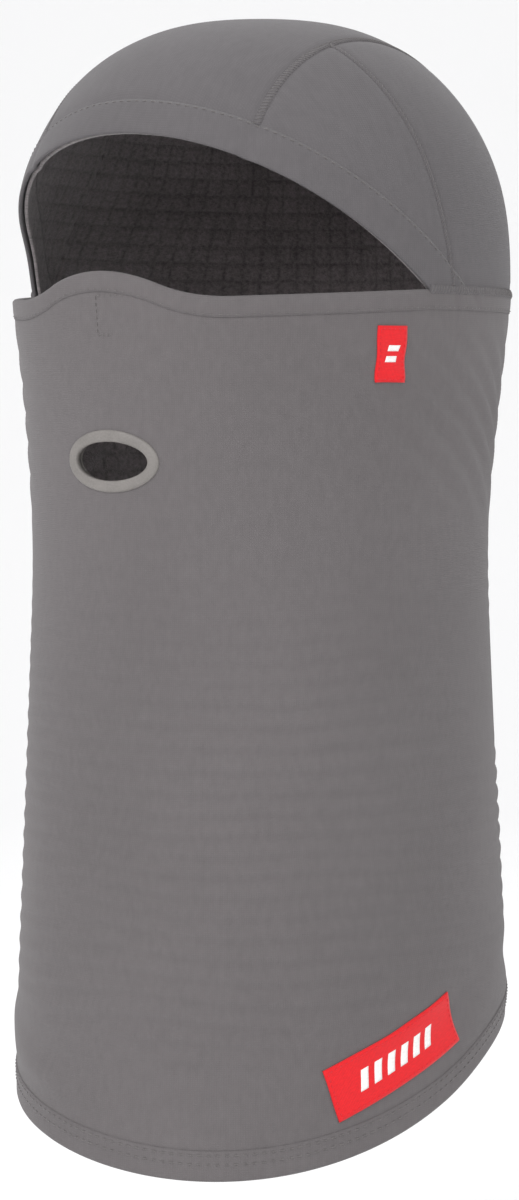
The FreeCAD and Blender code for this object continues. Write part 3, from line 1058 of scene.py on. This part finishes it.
class Label:
    """A flat patch on the cloth, with its own sideways and upward directions."""

    def __init__(self, node, width, height, tilt, drop=0.0):
        low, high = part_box(node)
        middle = (np.array(low) + np.array(high)) / 2 / MM
        self.phi = float(phi_of(middle[0], middle[1]))
        self.s = float(s_at_z(middle[2] - drop))
        r = float(np.interp(self.s, S_TABLE, R_TABLE))
        self.arc = math.hypot(r * math.sin(self.phi), DEPTH_PER_WIDTH * r * math.cos(self.phi))
        self.width, self.height, self.tilt = width, height, math.radians(tilt)

    def place(self, a, b):
        """Direction and profile place of a point that far sideways and up from the label's middle."""
        c, d = math.cos(self.tilt), math.sin(self.tilt)
        return self.phi + (a * c - b * d) / self.arc, self.s - (a * d + b * c)

    def patch(self, name, a0, a1, b0, b1, outs, material, lean=0.0, step=1.0):
        """A plate on the label between sideways and upward limits, with its edges pressed down."""
        pressed = 0.35
        columns = max(4, int((a1 - a0) / step) + 1)
        rows = max(4, int((b1 - b0) / step) + 1)
        a, b = np.meshgrid(np.linspace(a0, a1, columns), np.linspace(b1, b0, rows))
        edge = np.zeros(a.shape, bool)
        edge[[0, -1]] = edge[:, [0, -1]] = True
        phi, s = self.place(a + lean * b, b)
        top = np.where(edge, outs[0] - (outs[0] - outs[1]) * pressed, outs[0])
        piece = grid_piece(name, phi, s, (top, outs[1]), material)
        flat = np.stack([a, b], -1).reshape(-1, 2) * MM
        set_cloth(piece, np.concatenate([flat, flat]))
        return piece

    def plate(self, name, out):
        wide, high = self.width / 2, self.height / 2
        return self.patch(name, -wide, wide, -high, high, (out, 0.05), RED)

    def border_stitches(self, name, inset, out):
        wide, high = self.width / 2 - inset, self.height / 2 - inset
        corners = [(-wide, -high), (wide, -high), (wide, high), (-wide, high), (-wide, -high)]
        threads = Threads()
        stitch_between(threads, corners, self.place, 60, length=1.5, gap=0.6, out=out, radius=0.19)
        return threads.piece(name, RED_THREAD)


def joined(name, pieces):
    """One object from several, keeping the first one's material."""
    with bpy.context.temp_override(active_object=pieces[0], selected_editable_objects=pieces):
        bpy.ops.object.join()
    pieces[0].name = name
    return pieces[0]


# The labels carry plain white bars in place of any mark
CHEEK_DASHES = (-2.6, 1.0)
CHEEK_DASH_HALF = 2.4
CHEEK_DASH_HIGH = 2.0
HEM_DASHES = 6
HEM_DASH_START = -17.5
HEM_DASH_PITCH = 6.2
HEM_DASH_WIDE = 3.4
HEM_DASH_HALF = 3.4


def labels():
    cheek = Label("cheek_label", 12.4, 19.0, 0)
    plate = cheek.plate("cheek_tab", 0.75)
    on_mask(plate, "woven_label", "cheek_label")
    on_mask(cheek.border_stitches("cheek_tab_stitches", 1.0, 0.72), "label_thread", "cheek_label_stitching")
    dashes = []
    for i, b in enumerate(CHEEK_DASHES):
        dashes.append(cheek.patch(f"dash_{i}", -CHEEK_DASH_HALF, CHEEK_DASH_HALF, b, b + CHEEK_DASH_HIGH,
                                  (0.95, 0.6), WHITE, lean=0.35, step=0.6))
    on_mask(joined("cheek_tab_dashes", dashes), "woven_label")
    hem = Label("hem_label", 60, 19.0, 19.5, drop=2.6)
    plate = hem.plate("hem_tab", 0.8)
    on_mask(plate, "woven_label", "hem_label")
    on_mask(hem.border_stitches("hem_tab_stitches", 1.3, 0.77), "label_thread", "hem_label_stitching")
    dashes = []
    for i in range(HEM_DASHES):
        a = HEM_DASH_START + i * HEM_DASH_PITCH
        dashes.append(hem.patch(f"stripe_{i}", a, a + HEM_DASH_WIDE, -HEM_DASH_HALF, HEM_DASH_HALF,
                                (1.0, 0.6), WHITE, lean=0.4, step=0.8))
    on_mask(joined("hem_tab_dashes", dashes), "woven_label")


# --- Stage, light and camera ---

# Metres and degrees
CAMERA_AZIMUTH = 34.0
CAMERA_DISTANCE = 1.09
CAMERA_HEIGHT = -0.032
AIM = Vector((0, 0, -0.112))
FLOOR_Z = -0.42
SWEEP_START = 1.6
SWEEP_RADIUS = 1.2
SWEEP_STEPS = 12
SWEEP_EXTENT = 6.0

# The lens that fits the photograph. Its sideways shift is a share of the picture's height
SENSOR_MM = 24
LENS_MM = 60.74
LENS_SHIFT = -0.00458

# Name, azimuth from the camera's, elevation, distance, size and power
LIGHTS = (
    ("key", -30, 30, 1.6, (1.2, 1.2), 14),
    ("fill", 50, 10, 1.8, (1.0, 1.8), 5),
    ("top", 180, 70, 1.6, (1.2, 1.2), 5),
)


def stage_material():
    material = bpy.data.materials.new("paper")
    material.use_nodes = True
    shader = material.node_tree.nodes["Principled BSDF"]
    shader.inputs["Base Color"].default_value = (0.93, 0.93, 0.935, 1)
    shader.inputs["Roughness"].default_value = 0.9
    return material


def add_stage():
    """A pale paper sweep: floor, curve and wall behind the object."""
    outline = [(-SWEEP_EXTENT, 0.0)]
    for angle in np.linspace(0, 0.5 * math.pi, SWEEP_STEPS + 1):
        outline.append((SWEEP_START + SWEEP_RADIUS * math.sin(angle), SWEEP_RADIUS * (1 - math.cos(angle))))
    outline.append((SWEEP_START + SWEEP_RADIUS, SWEEP_EXTENT))
    turn = math.radians(CAMERA_AZIMUTH)
    forward = np.array([-math.sin(turn), math.cos(turn)])
    across = np.array([math.cos(turn), math.sin(turn)])
    vertices = []
    for depth, height in outline:
        for sign in (-1, 1):
            plan = forward * depth + across * SWEEP_EXTENT * sign
            vertices.append((plan[0], plan[1], FLOOR_Z + height))
    faces = [(2 * i, 2 * i + 1, 2 * i + 3, 2 * i + 2) for i in range(len(outline) - 1)]
    mesh = bpy.data.meshes.new("paper_sweep")
    mesh.from_pydata(vertices, [], faces)
    mesh.polygons.foreach_set("use_smooth", [True] * len(mesh.polygons))
    obj = bpy.data.objects.new("paper_sweep", mesh)
    bpy.context.collection.objects.link(obj)
    obj.data.materials.append(stage_material())


def aim_from(obj, place):
    obj.location = place
    obj.rotation_euler = (AIM - place).to_track_quat("-Z", "Y").to_euler()


def add_lights():
    world = bpy.data.worlds.new("studio")
    bpy.context.scene.world = world
    world.use_nodes = True
    background = world.node_tree.nodes["Background"]
    background.inputs["Color"].default_value = (1.0, 1.0, 1.0, 1)
    background.inputs["Strength"].default_value = 0.9
    for name, azimuth, elevation, distance, size, power in LIGHTS:
        data = bpy.data.lights.new(name, "AREA")
        data.shape = "RECTANGLE"
        data.size, data.size_y = size
        data.energy = power
        obj = bpy.data.objects.new(name, data)
        bpy.context.collection.objects.link(obj)
        a, e = math.radians(CAMERA_AZIMUTH + azimuth), math.radians(elevation)
        back = Vector((math.sin(a) * math.cos(e), -math.cos(a) * math.cos(e), math.sin(e)))
        aim_from(obj, AIM + back * distance)


def add_camera():
    data = bpy.data.cameras.new("camera")
    obj = bpy.data.objects.new("camera", data)
    bpy.context.collection.objects.link(obj)
    a = math.radians(CAMERA_AZIMUTH)
    aim_from(obj, Vector((math.sin(a) * CAMERA_DISTANCE, -math.cos(a) * CAMERA_DISTANCE, CAMERA_HEIGHT)))
    data.sensor_fit = "VERTICAL"
    data.sensor_height = SENSOR_MM
    data.lens = LENS_MM
    data.clip_start = 0.05
    data.shift_x = LENS_SHIFT
    bpy.context.scene.camera = obj


hood_panels()
crown_lining()
brow_hem()
hood_seams()
neck_seam()
FIT["hood"] = False
mask_cloth()
mask_hems()
breathing_hole()
nose_dart()
back_seam()
labels()
add_stage()
add_lights()
add_camera()
bpy.context.scene.view_settings.view_transform = "Standard"
